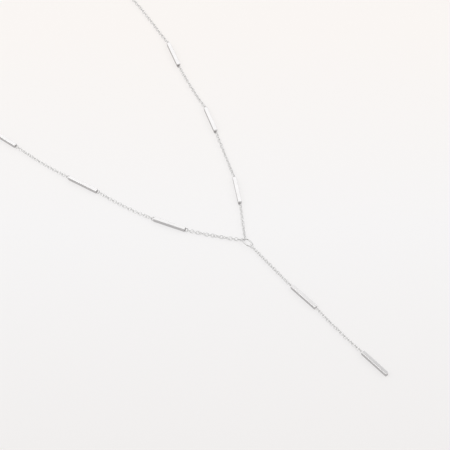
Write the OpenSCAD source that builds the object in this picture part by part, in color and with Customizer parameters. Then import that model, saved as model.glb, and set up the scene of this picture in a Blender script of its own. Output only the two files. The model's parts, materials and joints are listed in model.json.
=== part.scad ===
/* [Bars] */
// Length of a bar, without its end rings
bar_len = 10; // [8:0.5:13]
// Width of a bar, seen from above
bar_w = 1.1; // [0.9:0.05:1.4]
// Height of a bar
bar_h = 1.2; // [1:0.05:1.6]
// Radius of a bar's softened edges
bar_edge_r = 0.12; // [0.05:0.01:0.2]
// Radius of the two corners at the tip bar's free end
tip_corner_r = 0.4; // [0.2:0.05:0.44]
// Outer width of the ring soldered to a bar's end
end_ring_d = 1.1; // [1.1:0.05:1.4]
// How deep a soldered ring or eye is sunk in the piece that carries it
solder_depth = 0.15; // [0.08:0.01:0.2]

/* [Chain] */
// Diameter of a link's wire
wire_d = 0.17; // [0.15:0.01:0.19]
// Outer length of a link
link_len = 1.37; // [1.31:0.02:1.61]
// Outer width of a link
link_w = 1.04; // [0.98:0.02:1.2]
// Least gap between two linked wires
play = 0.13; // [0.11:0.01:0.16]
// Lean of every second link from the surface, the others being square to it
link_lean = 45; // [40:1:50]

/* [Y Ring] */
// Outer length of the oval ring, along the drop
ring_len = 3.6; // [3.2:0.1:4.5]
// Outer width of the oval ring
ring_w = 2.6; // [2.4:0.1:3]
// Diameter of the oval ring's wire
ring_wire_d = 0.3; // [0.25:0.01:0.34]
// Tilt of the oval ring, its left side up
ring_tilt = 20; // [14:1:26]
// Gap between the oval ring's wire and the links that hook on it
hook_play = 0.2; // [0.15:0.01:0.25]

/* [Clasp] */
// Length of the barrel between its two eyes
clasp_len = 7; // [5:0.5:9]
// Diameter of the barrel
clasp_d = 1.8; // [1.6:0.1:2.4]
// Radius of the barrel's rounded ends
clasp_end_r = 0.4; // [0.2:0.05:0.4]
// Outer width of an eye
eye_d = 1.6; // [1.4:0.05:2]
// Diameter of an eye's wire
eye_wire_d = 0.35; // [0.28:0.01:0.4]

/* [Hidden] */
$fn = 32;
silver = "#d9dadd";

// Columns of a place: measured from the middle of the oval ring, with its heading in degrees
X = 0;
Y = 1;
HEADING = 2;

// The way that the necklace lies, chosen by hand. Bars are given by their middles, heading away from
// the oval ring, the back stretches by the places that they pass, and the clasp by its middle.
RIGHT_BARS = [[10.5, 17.1, 59.5], [22.6, 43.9, 68.3], [31.4, 72.5, 69.5]];
LEFT_BARS = [[-13, 19.8, 116.5], [-22.9, 48.2, 107.5], [-30, 78.2, 101.5]];
DROP_BARS = [[-0.8, -25.6, -89], [-1.2, -55.8, -89.5]];
RIGHT_BACK = [[36.6, 96.2, 82], [39.2, 125, 88], [39.2, 158, 90], [28.2, 184.5, 135]];
LEFT_BACK = [[-34.8, 110, 96], [-35.8, 135, 90], [-35.8, 158, 90], [-24.8, 184.5, 45]];
CLASP_MIDDLE = [1.7, 195.5, 180];

// Where the right arm, the left arm and the drop hook on the oval ring, as angles round its two round
// ends, and how far their first links are turned there, which they turn back at once
HOOK_ANGLE = [82, 108, -90];
HOOK_TURN = [-30, -35, 0];
RIGHT = 0;
LEFT = 1;
DROP = 2;

// How each chain bows to its left, as the angle at its two ends from the straight way between them
RIGHT_BOWS = [0, 0, 2.5];
LEFT_BOWS = [3, 4, 3];
DROP_BOWS = [0, -2];
// Where each chain turns over, as shares of its length, and by how many degrees
RIGHT_TURNS = [[[0.4, 90]], [[0.3, 90], [0.7, 90]], [[0.5, 90]]];
LEFT_TURNS = [
    [[0.22, 90], [0.39, 90], [0.67, 90]],
    [[0, 90], [0.85, 90]],
    [[0.67, 45], [0.92, 45]]
];
DROP_TURNS = [[[0, 45], [0.91, 45]], [[0.4, 90]]];
SHARE = 0;
DEGREES = 1;
// A chain turns over by this much from link to link, at most
turn_step = 27;

// Samples along each stretch between two places
samples = 16;
// Sides of the plain back stretches, the spacing of their sections, and where each is cut in two, as a
// share of its length
back_sides = 8;
back_step = 3.4;
back_cut = 0.6;

// Distance between the centre lines of two linked wires, and the longest step from link to link
grip = wire_d + play;
pitch = link_len - wire_d - grip;
// How far a link hangs below the piece that it is linked to, at most
sag = 0.03;
// Middle of a soldered ring, beyond the face that carries it
end_ring_out = end_ring_d / 2 - solder_depth;
eye_out = eye_d / 2 - solder_depth;
// From the middle of a bar's soldered ring to the middle of the link that hooks on it
link_reach = (end_ring_d - wire_d) / 2 - grip + (link_len - wire_d) / 2;
// Ends of the back stretches, beyond the middle of that ring and beyond the barrel's end
ring_gap = end_ring_d / 2 + play;
clasp_gap = eye_out + eye_d / 2 + play;
// Middle of the oval ring above the surface
ring_z = (ring_w - ring_wire_d) / 2 * sin(ring_tilt) + ring_wire_d / 2;
// Lean of the rings soldered on the arms and on the drop
arm_lean = -link_lean;
drop_lean = link_lean;

// A place moved along its own heading
function ahead(place, distance) = [
    place[X] + distance * cos(place[HEADING]),
    place[Y] + distance * sin(place[HEADING]),
    place[HEADING]
];
function turned_back(place) = [place[X], place[Y], place[HEADING] - 180];
// Place a headed for place b, or to the left of it by an angle
function headed(a, b, left = 0) = [a[X], a[Y], atan2(b[Y] - a[Y], b[X] - a[X]) + left];

// The smooth curve from place a to place b, at the share t of the way
function between(a, b, t) =
    let (
        reach = norm([b[X] - a[X], b[Y] - a[Y]]),
        tangent_a = reach * [cos(a[HEADING]), sin(a[HEADING])],
        tangent_b = reach * [cos(b[HEADING]), sin(b[HEADING])]
    )
    (1 + 2 * t) * pow(1 - t, 2) * [a[X], a[Y]]
        + t * pow(1 - t, 2) * tangent_a
        + t * t * (3 - 2 * t) * [b[X], b[Y]]
        - t * t * (1 - t) * tangent_b;
// Points along the curve through all the places
function curve(places) = [
    for (k = [0 : len(places) - 2])
        for (i = [k == 0 ? 0 : 1 : samples])
            between(places[k], places[k + 1], i / samples)
];
// Length of the curve up to each of its points
function lengths(points) = [
    for (
        i = 0, s = 0;
        i < len(points);
        i = i + 1,
        s = i < len(points) ? s + norm(points[i] - points[i - 1]) : s
    ) s
];
// Place at a length along the curve
function place_at(points, at, s) =
    let (
        near = 0.01,
        xs = [for (i = [0 : len(points) - 1]) [at[i], points[i][X]]],
        ys = [for (i = [0 : len(points) - 1]) [at[i], points[i][Y]]],
        s_mid = min(max(s, near), at[len(at) - 1] - near)
    )
    [
        lookup(s, xs),
        lookup(s, ys),
        atan2(
            lookup(s_mid + near, ys) - lookup(s_mid - near, ys),
            lookup(s_mid + near, xs) - lookup(s_mid - near, xs)
        )
    ];

// Where an arm's or the drop's first link passes inside the oval ring, and the height of the ring's wire
// there
function hook(arm) =
    let (
        angle = HOOK_ANGLE[arm],
        inner_r = ring_w / 2 - ring_wire_d - hook_play - wire_d / 2,
        end_y = sign(sin(angle)) * (ring_len - ring_w) / 2
    )
    [cos(ring_tilt) * inner_r * cos(angle), end_y + inner_r * sin(angle)];
function hook_z(arm) = ring_z - (ring_w - ring_wire_d) / 2 * cos(HOOK_ANGLE[arm]) * sin(ring_tilt);

// Middle of the ring soldered on a bar's end: -1 towards the oval ring, 1 away
function end_ring(place, end) = ahead(place, end * (bar_len / 2 + end_ring_out));

// Fewest steps from link to link that cover a length, even or odd as asked
function step_count(length, odd) = 2 * ceil((length / pitch - odd) / 2) + odd;
function total(values, i = 0) = i < len(values) ? values[i] + total(values, i + 1) : 0;
// Links at which the turns of a chain begin: each after the one before, and done before the last link
function turn_starts(turns, steps, k = 0, free = 0) =
    k == len(turns) ? []
        : let (
            links = abs(turns[k][DEGREES]) / turn_step,
            start = max(min(round(turns[k][SHARE] * steps), steps - links), free)
        )
        concat([start], turn_starts(turns, steps, k + 1, start + links));
// How far a chain has turned over at its link i
function turned(i, turns, starts) = total([
    for (k = [0 : len(turns) - 1])
        sign(turns[k][DEGREES]) * min(max(i - starts[k], 0) * turn_step, abs(turns[k][DEGREES]))
]);
// Height of a link's middle where it leans on the surface
function rise(lean) = (link_w - wire_d) / 2 * abs(sin(lean)) + wire_d / 2;
// Height of the middle of link i: on the surface, or held up by the pieces that it is linked to
function link_z(i, leans, first_z, last_z) = max([
    first_z - sag * (i + 1),
    last_z - sag * (len(leans) - i),
    for (j = [0 : len(leans) - 1]) rise(leans[j]) - sag * abs(i - j)
]);

// Half of a rounded rectangle, on the +X side
module half_outline(length, width, corner_r) {
    translate([0, -width / 2])
        square([length / 2 - corner_r, width]);
    translate([0, corner_r - width / 2])
        square([length / 2, width - 2 * corner_r]);
    for (side = [-1, 1])
        translate([length / 2 - corner_r, side * (width / 2 - corner_r)])
            circle(r = corner_r);
}

// Rounded rectangle whose corners at its +X end have a radius of their own
module outline(length, width, corner_r, far_corner_r) {
    half_outline(length, width, far_corner_r);
    mirror([1, 0])
        half_outline(length, width, corner_r);
}

// Round ring of wire, lying flat
module wire_ring(width, wire) {
    rotate_extrude()
        translate([(width - wire) / 2, 0])
            circle(d = wire);
}

// Oval ring of wire, lying flat, its length along X
module wire_oval(length, width, wire) {
    for (turn = [0, 180])
        rotate([0, 0, turn]) {
            translate([(length - width) / 2, 0, 0])
                rotate([0, 0, -90])
                    rotate_extrude(angle = 180)
                        translate([(width - wire) / 2, 0])
                            circle(d = wire);
            translate([(width - length) / 2, (width - wire) / 2, 0])
                rotate([0, 90, 0])
                    cylinder(d = wire, h = length - width);
        }
}

// Square bar with its middle at the origin and its length along X
module bar_body(far_corner_r) {
    intersection() {
        rotate([90, 0, 90])
            linear_extrude(bar_len, center = true)
                outline(bar_w, bar_h, bar_edge_r, bar_edge_r);
        linear_extrude(bar_h, center = true)
            outline(bar_len, bar_w, bar_edge_r, far_corner_r);
        rotate([90, 0, 0])
            linear_extrude(bar_w, center = true)
                outline(bar_len, bar_h, bar_edge_r, bar_edge_r);
    }
}

// Bar lying at a place, with a ring soldered on each end named: -1 towards the oval ring, 1 away
module bar(place, lean, ring_ends = [-1, 1], far_corner_r = bar_edge_r) {
    translate([place[X], place[Y], bar_h / 2])
        rotate([0, 0, place[HEADING]]) {
            bar_body(far_corner_r);
            for (end = ring_ends)
                translate([end * (bar_len / 2 + end_ring_out), 0, 0])
                    rotate([lean, 0, 0])
                        wire_ring(end_ring_d, wire_d);
        }
}

// Chain of links between two places. reach is how far the middles of its first and last links lie from
// them, z the heights of what these hook on, and lean their leans. Each link is square to the one
// before, but less so where the chain turns over.
module chain(start, end, bow, reach, z, lean, turns) {
    points = curve([
        ahead(headed(start, end, bow), reach[0]),
        turned_back(ahead(headed(end, start, -bow), reach[1]))
    ]);
    at = lengths(points);
    length = at[len(at) - 1];
    quarters = round((lean[1] - lean[0] + total([for (turn = turns) turn[DEGREES]])) / 90);
    steps = step_count(length, abs(quarters) % 2);
    starts = turn_starts(turns, steps);
    leans = [for (i = [0 : steps]) lean[0] + 90 * i - turned(i, turns, starts)];
    for (i = [0 : steps]) {
        place = place_at(points, at, length * i / steps);
        translate([place[X], place[Y], link_z(i, leans, z[0], z[1])])
            rotate([leans[i], 0, place[HEADING]])
                wire_oval(link_len, link_w, wire_d);
    }
}

// Chain from the oval ring to the first bar of an arm or of the drop, whose end rings have a lean
module chain_from_ring(arm, bar_place, ring_lean, bow, turns) {
    chain(
        hook(arm), end_ring(bar_place, -1), bow, [(link_len - wire_d) / 2, link_reach],
        [hook_z(arm), bar_h / 2], [ring_lean + HOOK_TURN[arm], ring_lean + 90],
        concat([[0, HOOK_TURN[arm]]], turns)
    );
}

// Chain between two bars, whose end rings have a lean
module chain_between(near_bar, far_bar, ring_lean, bow, turns) {
    chain(
        end_ring(near_bar, 1), end_ring(far_bar, -1), bow, [link_reach, link_reach],
        [bar_h / 2, bar_h / 2], [ring_lean + 90, ring_lean + 90], turns
    );
}

// Plain stretch as wide as the chain, lying along a curve through the places: all that lies between two
// shares of its length
module back_stretch(places, shares) {
    points = curve(places);
    at = lengths(points);
    length = at[len(at) - 1];
    steps = ceil(length / back_step);
    first = round(shares[0] * steps);
    last = round(shares[1] * steps);
    corner_r = link_w / 2 / cos(180 / back_sides);
    corners = [
        for (i = [first : last])
            let (place = place_at(points, at, length * i / steps))
            for (k = [0 : back_sides - 1])
                let (angle = 360 * (k + 0.5) / back_sides, across = corner_r * cos(angle))
                [
                    place[X] - across * sin(place[HEADING]),
                    place[Y] + across * cos(place[HEADING]),
                    link_w / 2 + corner_r * sin(angle)
                ]
    ];
    faces = concat(
        [[for (k = [0 : back_sides - 1]) k]],
        [
            for (i = [0 : last - first - 1], k = [0 : back_sides - 1])
                let (a = i * back_sides, b = a + back_sides, next = (k + 1) % back_sides)
                [a + next, a + k, b + k, b + next]
        ],
        [[for (k = [back_sides - 1 : -1 : 0]) (last - first) * back_sides + k]]
    );
    polyhedron(points = corners, faces = faces);
}

// The whole necklace is centred over the origin
right_back_places = concat(
    [ahead(headed(end_ring(RIGHT_BARS[2], 1), RIGHT_BACK[0]), ring_gap)],
    RIGHT_BACK,
    [ahead(CLASP_MIDDLE, -clasp_len / 2 - clasp_gap)]
);
left_back_places = concat(
    [ahead(headed(end_ring(LEFT_BARS[2], 1), LEFT_BACK[0]), ring_gap)],
    LEFT_BACK,
    [ahead(turned_back(CLASP_MIDDLE), -clasp_len / 2 - clasp_gap)]
);
back_shares = [[0, back_cut], [back_cut, 1]];
x_max = max([for (point = curve(right_back_places)) point[X]]) + link_w / 2;
x_min = min([for (point = curve(left_back_places)) point[X]]) - link_w / 2;
y_max = CLASP_MIDDLE[Y] + clasp_d / 2;
y_min = ahead(DROP_BARS[1], bar_len / 2)[Y];

module laid() {
    translate([-(x_min + x_max) / 2, -(y_min + y_max) / 2, 0])
        color(silver)
            children();
}

module y_ring() {
    laid()
        translate([0, 0, ring_z])
            rotate([0, ring_tilt, 0])
                rotate([0, 0, 90])
                    wire_oval(ring_len, ring_w, ring_wire_d);
}

module bar_right(i) {
    laid()
        bar(RIGHT_BARS[i], arm_lean);
}

module bar_left(i) {
    laid()
        bar(LEFT_BARS[i], arm_lean);
}

module bar_drop() {
    laid()
        bar(DROP_BARS[0], drop_lean);
}

module bar_tip() {
    laid()
        bar(DROP_BARS[1], drop_lean, [-1], tip_corner_r);
}

module chain_right(i) {
    laid()
        if (i == 0)
            chain_from_ring(RIGHT, RIGHT_BARS[0], arm_lean, RIGHT_BOWS[0], RIGHT_TURNS[0]);
        else
            chain_between(RIGHT_BARS[i - 1], RIGHT_BARS[i], arm_lean, RIGHT_BOWS[i], RIGHT_TURNS[i]);
}

module chain_left(i) {
    laid()
        if (i == 0)
            chain_from_ring(LEFT, LEFT_BARS[0], arm_lean, LEFT_BOWS[0], LEFT_TURNS[0]);
        else
            chain_between(LEFT_BARS[i - 1], LEFT_BARS[i], arm_lean, LEFT_BOWS[i], LEFT_TURNS[i]);
}

module chain_drop_1() {
    laid()
        chain_from_ring(DROP, DROP_BARS[0], drop_lean, DROP_BOWS[0], DROP_TURNS[0]);
}

module chain_drop_2() {
    laid()
        chain_between(DROP_BARS[0], DROP_BARS[1], drop_lean, DROP_BOWS[1], DROP_TURNS[1]);
}

module chain_right_back(i) {
    laid()
        back_stretch(right_back_places, back_shares[i]);
}

module chain_left_back(i) {
    laid()
        back_stretch(left_back_places, back_shares[i]);
}

module clasp() {
    laid()
        translate([CLASP_MIDDLE[X], CLASP_MIDDLE[Y], clasp_d / 2])
            rotate([0, 0, CLASP_MIDDLE[HEADING]]) {
                rotate([0, 90, 0])
                    rotate_extrude()
                        half_outline(clasp_d, clasp_len, clasp_end_r);
                for (end = [-1, 1])
                    translate([end * (clasp_len / 2 + eye_out), 0, 0])
                        rotate([arm_lean, 0, 0])
                            wire_ring(eye_d, eye_wire_d);
            }
}

y_ring();
bar_right(0);  // bar_right_1
bar_right(1);  // bar_right_2
bar_right(2);  // bar_right_3
bar_left(0);  // bar_left_1
bar_left(1);  // bar_left_2
bar_left(2);  // bar_left_3
bar_drop();
bar_tip();
chain_right(0);  // chain_right_1
chain_right(1);  // chain_right_2
chain_right(2);  // chain_right_3
chain_left(0);  // chain_left_1
chain_left(1);  // chain_left_2
chain_left(2);  // chain_left_3
chain_drop_1();
chain_drop_2();
chain_right_back(0);  // chain_right_back_1
chain_right_back(1);  // chain_right_back_2
chain_left_back(0);  // chain_left_back_1
chain_left_back(1);  // chain_left_back_2
clasp();
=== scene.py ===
# Y necklace of polished silver, lying flat on a pale surface
import json
import math

import bpy
import numpy as np
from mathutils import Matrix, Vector


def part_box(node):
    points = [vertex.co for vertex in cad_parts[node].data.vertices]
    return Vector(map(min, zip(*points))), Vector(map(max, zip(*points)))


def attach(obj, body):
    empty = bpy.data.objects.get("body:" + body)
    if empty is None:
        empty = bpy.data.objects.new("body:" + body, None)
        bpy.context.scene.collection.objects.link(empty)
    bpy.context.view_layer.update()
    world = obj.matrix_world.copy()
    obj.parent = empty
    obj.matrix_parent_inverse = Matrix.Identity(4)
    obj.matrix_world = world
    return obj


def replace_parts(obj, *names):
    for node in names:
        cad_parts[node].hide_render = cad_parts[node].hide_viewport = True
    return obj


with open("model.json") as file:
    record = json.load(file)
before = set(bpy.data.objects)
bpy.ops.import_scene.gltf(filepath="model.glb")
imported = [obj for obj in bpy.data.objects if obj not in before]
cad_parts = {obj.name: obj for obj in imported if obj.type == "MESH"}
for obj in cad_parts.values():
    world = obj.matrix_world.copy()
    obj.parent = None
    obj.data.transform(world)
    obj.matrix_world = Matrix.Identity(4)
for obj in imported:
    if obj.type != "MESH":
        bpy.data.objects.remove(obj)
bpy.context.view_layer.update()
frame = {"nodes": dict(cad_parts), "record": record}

MM = 0.001
FULL_TURN = 2 * math.pi

# Camera: angles in degrees, lengths in millimetres
VIEW_ELEVATION = 50
VIEW_HEADING = 50
VIEW_DISTANCE = 656
LENS = 180
SENSOR = 36
# Where the camera looks, from the middle of the oval ring
LOOK_FROM_RING = (-0.486, 9.611)

# Sizes of the chain, the bars and the clasp, in millimetres
WIRE_D = 0.17
LINK_LEN = 1.37
LINK_W = 1.04
PLAY = 0.13
LINK_LEAN = 45
SAG = 0.03
BAR_LEN = 10
BAR_H = 1.2
END_RING_D = 1.1
SOLDER_DEPTH = 0.15
CLASP_LEN = 7
CLASP_D = 1.8
EYE_D = 1.6
EYE_WIRE_D = 0.35

# The lay of the back stretches: places from the middle of the oval ring, with headings in degrees
RIGHT_BAR_3 = (31.4, 72.5, 69.5)
LEFT_BAR_3 = (-30, 78.2, 101.5)
RIGHT_BACK = [(36.6, 96.2, 82), (39.2, 125, 88), (39.2, 158, 90), (28.2, 184.5, 135)]
LEFT_BACK = [(-34.8, 110, 96), (-35.8, 135, 90), (-35.8, 158, 90), (-24.8, 184.5, 45)]
CLASP_MIDDLE = (1.7, 195.5, 180)
# Where the back chains start to turn over, as shares of their length
RIGHT_BACK_TURNS = (0.12, 0.31, 0.52, 0.78)
LEFT_BACK_TURNS = (0.2, 0.43, 0.7)
# Degrees that a link gives way in a turn
TURN_STEP = 27
# The share of a back chain that its first node holds
BACK_CUT = 0.6
# Steps of a curve from one place to the next
SAMPLES = 16

# Facets of a link: along its wire and round it
LINK_STEPS = 32
WIRE_SIDES = 12

# Headings of the bars, in degrees
BAR_HEADINGS = {
    "bar_right_1": 59.5,
    "bar_right_2": 68.3,
    "bar_right_3": 69.5,
    "bar_left_1": 116.5,
    "bar_left_2": 107.5,
    "bar_left_3": 101.5,
    "bar_drop": -89,
    "bar_tip": -89.5,
}

# Silver: the scale of its clouding, of the unevenness of its polish and of its scratches, how much longer
# than wide a scratch is, and how deep in millimetres
CLOUD_SCALE = 450
POLISH_SCALE = 1300
SCRATCH_SCALE = 9000
SCRATCH_STRETCH = 16
SCRATCH_DEPTH = 0.01

# Marks of painted shade, in millimetres: dark spots on the bars' end faces that stand for their reflection
# of the shaded floor and the end rings. They lie MARK_OUT off a bar's ends, so that they darken the end
# faces alone, and are darkest up to MARK_CORE from there. Distances from them are measured up to MARK_SCALE.
MARK_OUT = 0.32
MARK_CORE = MARK_OUT + 0.02
MARK_SCALE = 2
# For each bar: how far to the left and how high its painted shade marks lie, how far they reach, and their
# shade
PAINTED_SHADE_MARKS = {
    "bar_right_1": (0.2, 0.5, 0.5, (0.6, 0.59, 0.59)),
    "bar_right_2": (0.22, 0.5, 0.46, (0.4, 0.39, 0.39)),
    "bar_right_3": (0.12, 0.55, 0.48, (0.35, 0.34, 0.34)),
    "bar_left_1": (0, 0.7, 0.78, (0.45, 0.44, 0.44)),
    "bar_left_2": (0, 0.6, 0.66, (0.6, 0.59, 0.59)),
    "bar_left_3": (0, 0.6, 0.66, (0.6, 0.59, 0.59)),
}

# The floor glows a little, so that shadows stay faint, and shows dimmer in the polished metal
FLOOR_HALF = 3.0
FLOOR_GLOW = 2.58
FLOOR_IN_METAL = 0.62
FLOOR_ROUGHNESS = (0.75, 0.9)
FLOOR_SHEEN = 0.2
# Its paper has painted light on it: it is brighter and slightly warmer away from the camera, by shares of a
# stretch in metres
PAINTED_LIGHT_STRETCH = 0.2
PAPER_WITH_PAINTED_LIGHT = [
    (0.1, (0.248, 0.243, 0.241)),
    (0.5, (0.260, 0.257, 0.257)),
    (0.9, (0.270, 0.260, 0.253)),
]
# Its fibres: their scale, and how strong and how deep in millimetres they stand out
FIBRE_SCALE = 900
FIBRE_STRENGTH = 0.05
FIBRE_DEPTH = 0.05

# Soft studio light: the sine of a height above the horizon and the level there, for the sky away from the
# camera, beside it and behind it. The ramps hold the levels divided by the strength, so as to stay below 1.
SKY_STRENGTH = 2
SKY_FAR = [
    (0, 0.9),
    (0.26, 0.5),
    (0.5, 1.5),
    (0.7, 1.11),
    (0.765, 1.12),
    (0.785, 0.98),
    (0.797, 0.88),
    (0.808, 0.56),
    (0.83, 0.5),
    (0.9, 0.4),
    (1, 0.55),
]
SKY_SIDE = [(0, 0.1), (0.3, 0.75), (0.55, 1.8), (0.75, 1.8), (0.9, 1.85), (1, 0.55)]
SKY_NEAR = [(0, 0), (0.3, 0.75), (0.55, 0.45), (0.75, 0.05), (0.9, 0), (1, 0.55)]

# A wide soft key light from the upper left: its place and size in metres, and its power in watts
KEY_PLACE = (-0.9, 0.3, 1.2)
KEY_SIZE = 0.8
KEY_POWER = 1.0

# Worked out from the sizes
GRIP = WIRE_D + PLAY
PITCH = LINK_LEN - WIRE_D - GRIP
END_RING_OUT = END_RING_D / 2 - SOLDER_DEPTH
LINK_REACH = (END_RING_D - WIRE_D) / 2 - GRIP + (LINK_LEN - WIRE_D) / 2
EYE_OUT = EYE_D / 2 - SOLDER_DEPTH
EYE_GRIP = (EYE_WIRE_D + WIRE_D) / 2 + PLAY
LAST_LINK = EYE_OUT + (EYE_D - EYE_WIRE_D) / 2 - EYE_GRIP + (LINK_LEN - WIRE_D) / 2

ring_low, ring_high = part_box("y_ring")
RING_MIDDLE = np.array([(ring_low.x + ring_high.x) / 2, (ring_low.y + ring_high.y) / 2, 0]) / MM

# The camera's direction, and where it looks
view_elevation, view_heading = math.radians(VIEW_ELEVATION), math.radians(VIEW_HEADING)
forward = Vector((
    math.cos(view_elevation) * math.cos(view_heading),
    math.cos(view_elevation) * math.sin(view_heading),
    -math.sin(view_elevation),
))
target = Vector(((RING_MIDDLE[0] + LOOK_FROM_RING[0]) * MM, (RING_MIDDLE[1] + LOOK_FROM_RING[1]) * MM, 0))


# Node helpers
def new_material(name):
    material = bpy.data.materials.new(name)
    material.use_nodes = True
    nodes, links = material.node_tree.nodes, material.node_tree.links
    return material, nodes, links, nodes["Principled BSDF"]


def noise(nodes, links, vector, scale, detail=3.0, roughness=0.5):
    node = nodes.new("ShaderNodeTexNoise")
    node.inputs["Scale"].default_value = scale
    node.inputs["Detail"].default_value = detail
    node.inputs["Roughness"].default_value = roughness
    links.new(vector, node.inputs["Vector"])
    return node.outputs["Fac"]


# Nearly all of a noise lies between these
NOISE_LOW = 0.3
NOISE_HIGH = 0.7


def spread(nodes, links, factor, low, high):
    """A noise's own range taken to low..high."""
    node = nodes.new("ShaderNodeMapRange")
    node.inputs["From Min"].default_value = NOISE_LOW
    node.inputs["From Max"].default_value = NOISE_HIGH
    node.inputs["To Min"].default_value = low
    node.inputs["To Max"].default_value = high
    links.new(factor, node.inputs["Value"])
    return node.outputs["Result"]


def ramp(nodes, links, factor, stops):
    node = nodes.new("ShaderNodeValToRGB")
    elements = node.color_ramp.elements
    while len(elements) < len(stops):
        elements.new(0.5)
    for element, (position, color) in zip(elements, stops):
        element.position = position
        element.color = (*color, 1)
    links.new(factor, node.inputs["Fac"])
    return node.outputs["Color"]


def bumps(nodes, links, shader, height, strength, depth):
    node = nodes.new("ShaderNodeBump")
    node.inputs["Strength"].default_value = strength
    node.inputs["Distance"].default_value = depth * MM
    links.new(height, node.inputs["Height"])
    links.new(node.outputs["Normal"], shader.inputs["Normal"])


def with_painted_shade(nodes, links, place, color, mark):
    """The colour, darker by painted shade round a mark, which is its place, its shade and its reach."""
    mark_place, mark_shade, mark_reach = mark
    near = nodes.new("ShaderNodeVectorMath")
    near.operation = "DISTANCE"
    near.inputs[1].default_value = mark_place
    links.new(place, near.inputs[0])
    reach = nodes.new("ShaderNodeMapRange")
    reach.inputs["From Max"].default_value = MARK_SCALE * MM
    links.new(near.outputs["Value"], reach.inputs["Value"])
    stops = [(MARK_CORE / MARK_SCALE, mark_shade), (mark_reach / MARK_SCALE, (1, 1, 1))]
    shade = ramp(nodes, links, reach.outputs["Result"], stops)
    marked = nodes.new("ShaderNodeVectorMath")
    marked.operation = "MULTIPLY"
    links.new(color, marked.inputs[0])
    links.new(shade, marked.inputs[1])
    return marked.outputs["Vector"]


# Polished silver: slight clouding, fine scratches along its grain and a soft unevenness of the polish. Round
# the marks it has painted shade: dark spots that stand for the end faces' reflection of the shaded floor and
# end rings.
def silver(name, bright, dull, roughness, scratch, grain=90, marks=()):
    material, nodes, links, shader = new_material(name)
    place = nodes.new("ShaderNodeTexCoord").outputs["Object"]
    clouds = noise(nodes, links, place, CLOUD_SCALE, 4)
    color = ramp(nodes, links, clouds, [(NOISE_LOW, dull), (NOISE_HIGH, bright)])
    for mark in marks:
        color = with_painted_shade(nodes, links, place, color, mark)
    links.new(color, shader.inputs["Base Color"])
    polish = noise(nodes, links, place, POLISH_SCALE, 3)
    links.new(spread(nodes, links, polish, *roughness), shader.inputs["Roughness"])
    streaks = nodes.new("ShaderNodeMapping")
    streaks.vector_type = "TEXTURE"
    streaks.inputs["Rotation"].default_value = (0, 0, math.radians(grain))
    streaks.inputs["Scale"].default_value = (SCRATCH_STRETCH, 1, 1)
    links.new(place, streaks.inputs["Vector"])
    scratches = noise(nodes, links, streaks.outputs["Vector"], SCRATCH_SCALE, 2)
    bumps(nodes, links, shader, scratches, scratch, SCRATCH_DEPTH)
    shader.inputs["Metallic"].default_value = 1
    return material


def painted_shade_marks(bar, bar_heading):
    """Place, shade and reach of the painted shade marks at a bar's two ends."""
    if bar not in PAINTED_SHADE_MARKS:
        return []
    left, height, reach, shade = PAINTED_SHADE_MARKS[bar]
    low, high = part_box(bar)
    turn = math.radians(bar_heading)
    along = np.array([math.cos(turn), math.sin(turn), 0])
    leftward = np.array([-along[1], along[0], 0])
    middle = np.array([(low.x + high.x) / 2, (low.y + high.y) / 2, height * MM]) + left * MM * leftward
    out = (BAR_LEN / 2 + MARK_OUT) * MM
    return [(tuple(middle + end * out * along), shade, reach) for end in (-1, 1)]


SILVER = {
    "chain": silver("silver_chain", (0.88, 0.875, 0.87), (0.82, 0.815, 0.81), (0.05, 0.1), 0.15),
    "ring": silver("silver_ring", (0.78, 0.775, 0.77), (0.68, 0.675, 0.67), (0.06, 0.11), 0.15),
    "clasp": silver("silver_clasp", (0.88, 0.875, 0.87), (0.82, 0.815, 0.81), (0.1, 0.16), 0.25),
}
# Each bar's silver has painted shade marks on its end faces, standing for their reflection of the shaded
# floor
for bar, bar_heading in BAR_HEADINGS.items():
    SILVER[bar] = silver(
        f"silver_{bar}",
        (0.88, 0.868, 0.868),
        (0.835, 0.823, 0.823),
        (0.09, 0.12),
        0.02,
        bar_heading,
        painted_shade_marks(bar, bar_heading),
    )

# Each bar has a silver of its own, and every other sub-part has that of its slot
for subpart in frame["record"]["subparts"]:
    node = frame["nodes"][subpart["node"]]
    node.data.materials.clear()
    node.data.materials.append(SILVER.get(subpart["node"]) or SILVER[subpart["material_slot"]])


# Curves through places, as the lay of the chain needs them
def ahead(place, distance):
    x, y, heading = place
    turn = math.radians(heading)
    return (x + distance * math.cos(turn), y + distance * math.sin(turn), heading)


def between(a, b, share):
    start, end = np.array(a[:2]), np.array(b[:2])
    reach = np.linalg.norm(end - start)
    tangents = [
        reach * np.array([math.cos(math.radians(p[2])), math.sin(math.radians(p[2]))]) for p in (a, b)
    ]
    rest = 1 - share
    return (
        (1 + 2 * share) * rest**2 * start
        + share * rest**2 * tangents[0]
        + share**2 * (3 - 2 * share) * end
        - share**2 * rest * tangents[1]
    )


def curve(places):
    points = [np.array(places[0][:2], float)]
    for a, b in zip(places, places[1:]):
        points += [between(a, b, i / SAMPLES) for i in range(1, SAMPLES + 1)]
    return np.array(points)


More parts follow.
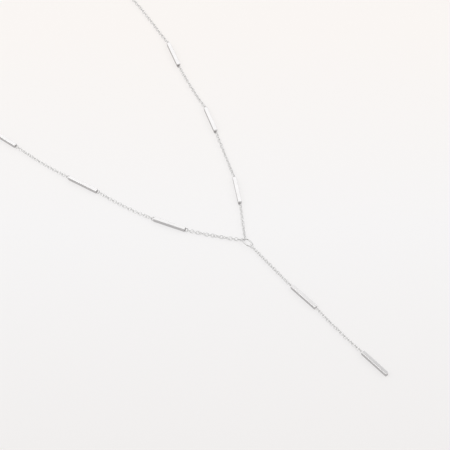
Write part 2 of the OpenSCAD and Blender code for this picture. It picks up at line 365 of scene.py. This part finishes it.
# One oval link of round wire, its middle at the origin and its length along X
def link_mesh():
    bend_r = (LINK_W - WIRE_D) / 2
    straight = LINK_LEN - LINK_W
    quarter = LINK_STEPS // 4
    centre, outward = [], []
    for i in range(2 * quarter):
        angle = math.pi * (i / (2 * quarter - 1) - 0.5)
        direction = np.array([math.cos(angle), math.sin(angle), 0])
        centre.append(direction * bend_r + [straight / 2, 0, 0])
        outward.append(direction)
    centre += [-point for point in centre]
    outward += [-direction for direction in outward]
    vertices = []
    for point, direction in zip(centre, outward):
        for k in range(WIRE_SIDES):
            angle = FULL_TURN * k / WIRE_SIDES
            across = math.cos(angle) * direction + math.sin(angle) * np.array([0, 0, 1])
            vertices.append(point + WIRE_D / 2 * across)
    faces = []
    for i in range(LINK_STEPS):
        a, b = i * WIRE_SIDES, (i + 1) % LINK_STEPS * WIRE_SIDES
        for k in range(WIRE_SIDES):
            after = (k + 1) % WIRE_SIDES
            faces.append((a + k, b + k, b + after, a + after))
    return np.array(vertices), np.array(faces)


def rise(lean):
    """Height of a link's middle where it leans on the surface."""
    return (LINK_W - WIRE_D) / 2 * abs(math.sin(math.radians(lean))) + WIRE_D / 2


def chain_links(places, turns, first_lean, first_z, last_z):
    """Place, height and lean of each link along the curve through the places."""
    points = curve(places)
    at = np.concatenate([[0], np.cumsum(np.linalg.norm(np.diff(points, axis=0), axis=1))])
    steps = 2 * math.ceil((at[-1] / PITCH) / 2)
    starts = [round(share * steps) for share in turns]
    leans = []
    for i in range(steps + 1):
        turned = sum(min(max(i - start, 0) * TURN_STEP, 90) for start in starts)
        leans.append(first_lean + 90 * i - turned)
    links = []
    for i, lean in enumerate(leans):
        s = at[-1] * i / steps
        x, y = (np.interp(s, at, points[:, k]) for k in (0, 1))
        near, far = max(s - 0.2, 0), min(s + 0.2, at[-1])
        dx, dy = (np.interp(far, at, points[:, k]) - np.interp(near, at, points[:, k]) for k in (0, 1))
        held = [first_z - SAG * (i + 1), last_z - SAG * (len(leans) - i)]
        z = max(held + [rise(leans[j]) - SAG * abs(i - j) for j in range(len(leans))])
        links.append((x, y, z, math.atan2(dy, dx), math.radians(lean)))
    return links


def rotation(heading, lean):
    c, s = math.cos(lean), math.sin(lean)
    about_x = np.array([[1, 0, 0], [0, c, -s], [0, s, c]])
    c, s = math.cos(heading), math.sin(heading)
    about_z = np.array([[c, -s, 0], [s, c, 0], [0, 0, 1]])
    return about_z @ about_x


def linked_chain(name, links):
    """All the links as one mesh, riding on the necklace."""
    link_vertices, link_faces = link_mesh()
    vertices, faces = [], []
    for n, (x, y, z, heading, lean) in enumerate(links):
        placed = link_vertices @ rotation(heading, lean).T + np.array([x, y, z])
        vertices.append((placed + RING_MIDDLE) * MM)
        faces.append(link_faces + n * len(link_vertices))
    mesh = bpy.data.meshes.new(name)
    mesh.from_pydata(np.concatenate(vertices).tolist(), [], np.concatenate(faces).tolist())
    mesh.polygons.foreach_set("use_smooth", [True] * len(mesh.polygons))
    mesh.materials.append(SILVER["chain"])
    piece = bpy.data.objects.new(name, mesh)
    bpy.context.scene.collection.objects.link(piece)
    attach(piece, "root")
    return piece


def back_chains(side, bar, back, clasp_end, turns):
    """The linked chain from the third bar of an arm to the clasp, in the source's two stretches."""
    ring = ahead(bar, BAR_LEN / 2 + END_RING_OUT)
    heading = math.degrees(math.atan2(back[0][1] - ring[1], back[0][0] - ring[0]))
    start = ahead((ring[0], ring[1], heading), LINK_REACH)
    end = ahead(clasp_end, -CLASP_LEN / 2 - LAST_LINK)
    links = chain_links([start, *back, end], turns, 90 - LINK_LEAN, BAR_H / 2, CLASP_D / 2)
    cut = round(BACK_CUT * len(links))
    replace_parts(linked_chain(f"links_{side}_back_1", links[:cut]), f"chain_{side}_back_1")
    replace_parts(linked_chain(f"links_{side}_back_2", links[cut:]), f"chain_{side}_back_2")


back_chains("right", RIGHT_BAR_3, RIGHT_BACK, CLASP_MIDDLE, RIGHT_BACK_TURNS)
back_chains("left", LEFT_BAR_3, LEFT_BACK, (*CLASP_MIDDLE[:2], CLASP_MIDDLE[2] - 180), LEFT_BACK_TURNS)


def floor_material():
    material, nodes, links, shader = new_material("pale_floor")
    place = nodes.new("ShaderNodeTexCoord").outputs["Object"]
    fibres = noise(nodes, links, place, FIBRE_SCALE, 5, 0.6)
    away = nodes.new("ShaderNodeVectorMath")
    away.operation = "DOT_PRODUCT"
    away.inputs[1].default_value = (math.cos(view_heading), math.sin(view_heading), 0)
    links.new(place, away.inputs[0])
    middle = target.x * math.cos(view_heading) + target.y * math.sin(view_heading)
    across = nodes.new("ShaderNodeMapRange")
    across.inputs["From Min"].default_value = middle - PAINTED_LIGHT_STRETCH / 2
    across.inputs["From Max"].default_value = middle + PAINTED_LIGHT_STRETCH / 2
    links.new(away.outputs["Value"], across.inputs["Value"])
    # The paper's tone with painted light, brighter and warmer away from the camera; it also sets the floor's
    # glow
    paper_with_painted_light = ramp(nodes, links, across.outputs["Result"], PAPER_WITH_PAINTED_LIGHT)
    links.new(paper_with_painted_light, shader.inputs["Base Color"])
    links.new(paper_with_painted_light, shader.inputs["Emission Color"])
    shader.inputs["Emission Strength"].default_value = FLOOR_GLOW
    bumps(nodes, links, shader, fibres, FIBRE_STRENGTH, FIBRE_DEPTH)
    links.new(spread(nodes, links, fibres, *FLOOR_ROUGHNESS), shader.inputs["Roughness"])
    shader.inputs["Specular IOR Level"].default_value = FLOOR_SHEEN
    dimmer = nodes.new("ShaderNodeMixShader")
    in_metal = nodes.new("ShaderNodeMath")
    in_metal.operation = "MULTIPLY"
    in_metal.inputs[1].default_value = 1 - FLOOR_IN_METAL
    links.new(nodes.new("ShaderNodeLightPath").outputs["Is Glossy Ray"], in_metal.inputs[0])
    links.new(in_metal.outputs["Value"], dimmer.inputs["Fac"])
    links.new(shader.outputs["BSDF"], dimmer.inputs[1])
    black = nodes.new("ShaderNodeBsdfDiffuse")
    black.inputs["Color"].default_value = (0, 0, 0, 1)
    links.new(black.outputs["BSDF"], dimmer.inputs[2])
    links.new(dimmer.outputs["Shader"], nodes["Material Output"].inputs["Surface"])
    return material


floor_mesh = bpy.data.meshes.new("floor")
floor_corners = [(x * FLOOR_HALF, y * FLOOR_HALF, 0) for x, y in ((-1, -1), (1, -1), (1, 1), (-1, 1))]
floor_mesh.from_pydata(floor_corners, [], [(0, 1, 2, 3)])
floor_mesh.materials.append(floor_material())
floor = bpy.data.objects.new("floor", floor_mesh)
bpy.context.scene.collection.objects.link(floor)


def studio_sky():
    world = bpy.data.worlds.new("studio")
    bpy.context.scene.world = world
    world.use_nodes = True
    nodes, links = world.node_tree.nodes, world.node_tree.links
    direction = nodes.new("ShaderNodeTexCoord").outputs["Generated"]
    split = nodes.new("ShaderNodeSeparateXYZ")
    links.new(direction, split.inputs["Vector"])
    level_way = nodes.new("ShaderNodeVectorMath")
    level_way.operation = "MULTIPLY"
    level_way.inputs[1].default_value = (1, 1, 0)
    links.new(direction, level_way.inputs[0])
    unit = nodes.new("ShaderNodeVectorMath")
    unit.operation = "NORMALIZE"
    links.new(level_way.outputs["Vector"], unit.inputs[0])
    shares = []
    for way in (view_heading, view_heading + math.pi):
        share = nodes.new("ShaderNodeVectorMath")
        share.operation = "DOT_PRODUCT"
        share.inputs[1].default_value = (math.cos(way), math.sin(way), 0)
        links.new(unit.outputs["Vector"], share.inputs[0])
        shares.append(share.outputs["Value"])
    far_sky, sky, near_sky = (
        ramp(nodes, links, split.outputs["Z"], [(z, (level / SKY_STRENGTH,) * 3) for z, level in levels])
        for levels in (SKY_FAR, SKY_SIDE, SKY_NEAR)
    )
    for share, other in zip(shares, (far_sky, near_sky)):
        blend = nodes.new("ShaderNodeMix")
        blend.data_type = "RGBA"
        links.new(share, blend.inputs["Factor"])
        links.new(sky, blend.inputs[6])
        links.new(other, blend.inputs[7])
        sky = blend.outputs[2]
    background = nodes["Background"]
    links.new(sky, background.inputs["Color"])
    background.inputs["Strength"].default_value = SKY_STRENGTH


studio_sky()

# The key light, turned to the middle of the necklace
key = bpy.data.lights.new("key", "AREA")
key.shape = "DISK"
key.size = KEY_SIZE
key.energy = KEY_POWER
key_light = bpy.data.objects.new("key", key)
key_light.location = KEY_PLACE
key_light.rotation_euler = (Vector((0, 0, 0)) - key_light.location).to_track_quat("-Z", "Y").to_euler()
bpy.context.scene.collection.objects.link(key_light)

# Camera
camera_data = bpy.data.cameras.new("camera")
camera_data.lens = LENS
camera_data.sensor_width = SENSOR
camera_data.clip_start = 0.05
camera_data.clip_end = 20
camera = bpy.data.objects.new("camera", camera_data)
camera.location = target - forward * VIEW_DISTANCE * MM
camera.rotation_mode = "QUATERNION"
camera.rotation_quaternion = forward.to_track_quat("-Z", "Y")
bpy.context.scene.collection.objects.link(camera)
bpy.context.scene.camera = camera

bpy.context.scene.view_settings.view_transform = "Standard"
